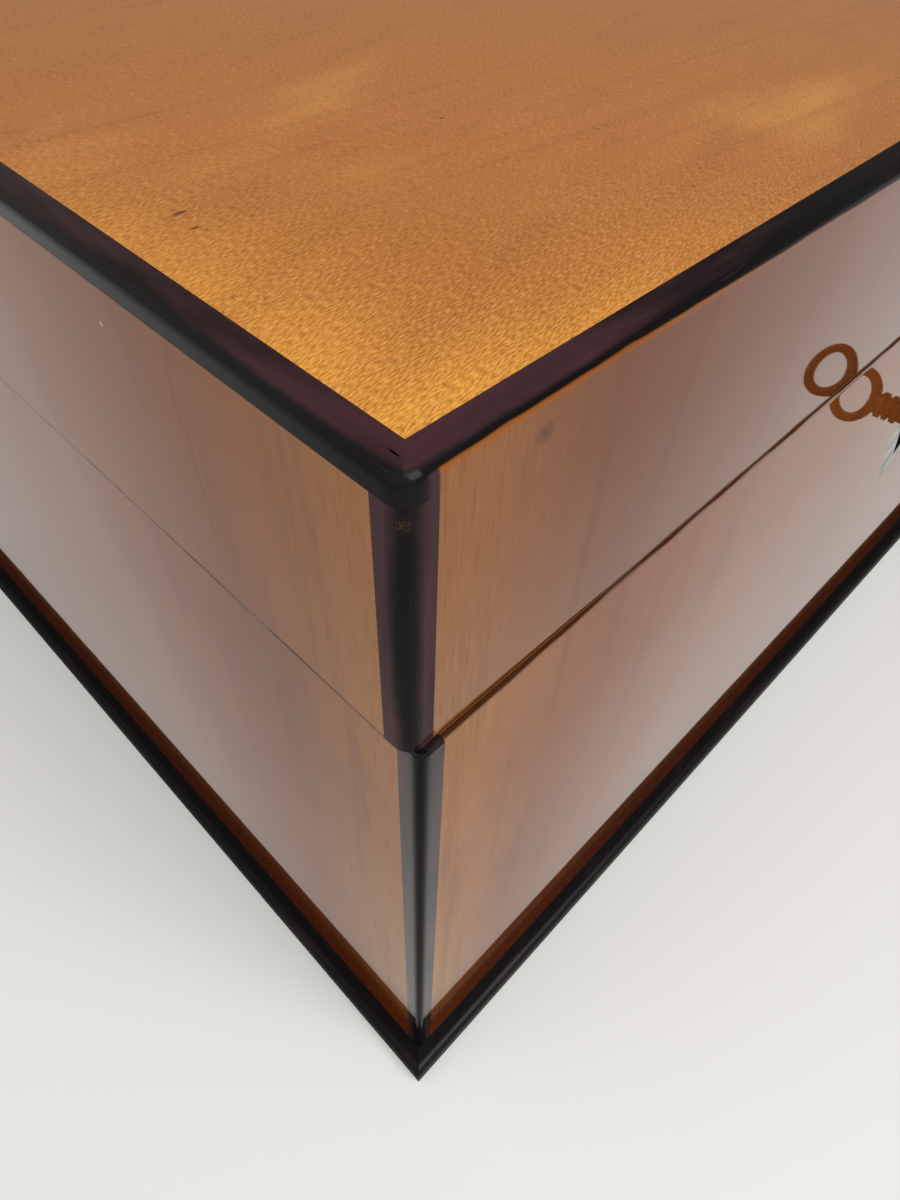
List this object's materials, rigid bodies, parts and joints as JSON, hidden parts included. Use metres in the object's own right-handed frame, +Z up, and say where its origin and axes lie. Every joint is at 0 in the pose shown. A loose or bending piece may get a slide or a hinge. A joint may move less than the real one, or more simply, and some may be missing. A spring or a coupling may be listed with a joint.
{
  "type": "veneered wooden box",
  "caption": "Veneered wooden box with a hinged lid, ebonised edging, corner strips and plinth, a box lock whose key throws the bolt, and butt hinges.",
  "frame": {"origin": "middle of the underside, on the face the box stands on", "axes": "+X along the front to the right as seen from the front, +Y from the front to the back, +Z up"},
  "size_m": [0.3754, 0.2906, 0.208],
  "materials": {
    "carcass_wood": "planed softwood, oiled",
    "top_veneer": "French polished veneer",
    "side_veneer": "French polished veneer",
    "ebonised_wood": "ebonised and polished",
    "brass": "aged brass",
    "steel": "plain steel",
    "key_iron": "worn, browned",
    "white_metal": "polished inlay"
  },
  "bodies": {
    "carcass": {"body_back_board": "carcass_wood", "body_back_veneer": "side_veneer", "body_corner_strip_back_left": "ebonised_wood", "body_corner_strip_back_right": "ebonised_wood", "body_corner_strip_front_left": "ebonised_wood", "body_corner_strip_front_right": "ebonised_wood", "body_front_board": "carcass_wood", "body_front_veneer": "side_veneer", "body_left_board": "carcass_wood", "body_left_veneer": "side_veneer", "body_right_board": "carcass_wood", "body_right_veneer": "side_veneer", "bottom_board": "carcass_wood", "bottom_nails": "steel", "escutcheon_border": "white_metal", "escutcheon_centre": "ebonised_wood", "hinge_left_lower_leaf": "brass", "hinge_left_pin": "steel", "hinge_right_lower_leaf": "brass", "hinge_right_pin": "steel", "hinge_screws_lower": "steel", "lock_cap": "brass", "lock_drill_pin": "steel", "lock_pillars": "steel", "lock_plate": "brass", "lock_screws": "steel", "plinth_back": "ebonised_wood", "plinth_front": "ebonised_wood", "plinth_left": "ebonised_wood", "plinth_right": "ebonised_wood"},
    "lid": {"hinge_left_upper_leaf": "brass", "hinge_right_upper_leaf": "brass", "lid_back_board": "carcass_wood", "lid_back_veneer": "side_veneer", "lid_corner_strip_back_left": "ebonised_wood", "lid_corner_strip_back_right": "ebonised_wood", "lid_corner_strip_front_left": "ebonised_wood", "lid_corner_strip_front_right": "ebonised_wood", "lid_edging_back": "ebonised_wood", "lid_edging_front": "ebonised_wood", "lid_edging_left": "ebonised_wood", "lid_edging_right": "ebonised_wood", "lid_front_board": "carcass_wood", "lid_front_veneer": "side_veneer", "lid_left_board": "carcass_wood", "lid_left_veneer": "side_veneer", "lid_right_board": "carcass_wood", "lid_right_veneer": "side_veneer", "lid_top_board": "carcass_wood", "lid_top_veneer": "top_veneer", "link_plate": "brass", "link_plate_screws": "steel", "hinge_screws_upper": "steel"},
    "bolt": {"lock_bolt": "steel"},
    "key": {"key": "key_iron"}
  },
  "joints": [
    {"name": "lid_hinge", "type": "hinge", "parent": "carcass", "child": "lid", "pos_m": [0, 0.1285, 0.166], "axis": [-1, 0, 0], "range_deg": [0, 98]},
    {"name": "key_turn", "type": "hinge", "parent": "carcass", "child": "key", "pos_m": [0, -0.131, 0.1175], "axis": [0, 1, 0], "range_deg": [-25, 335]},
    {"name": "bolt_throw", "type": "slide", "parent": "carcass", "child": "bolt", "axis": [1, 0, 0], "range_m": [-0.00042, 0.00558]}
  ],
  "couplings": [
    {"joint": "bolt_throw", "follows": "key_turn", "m_per_rad": 0.00095492}
  ]
}
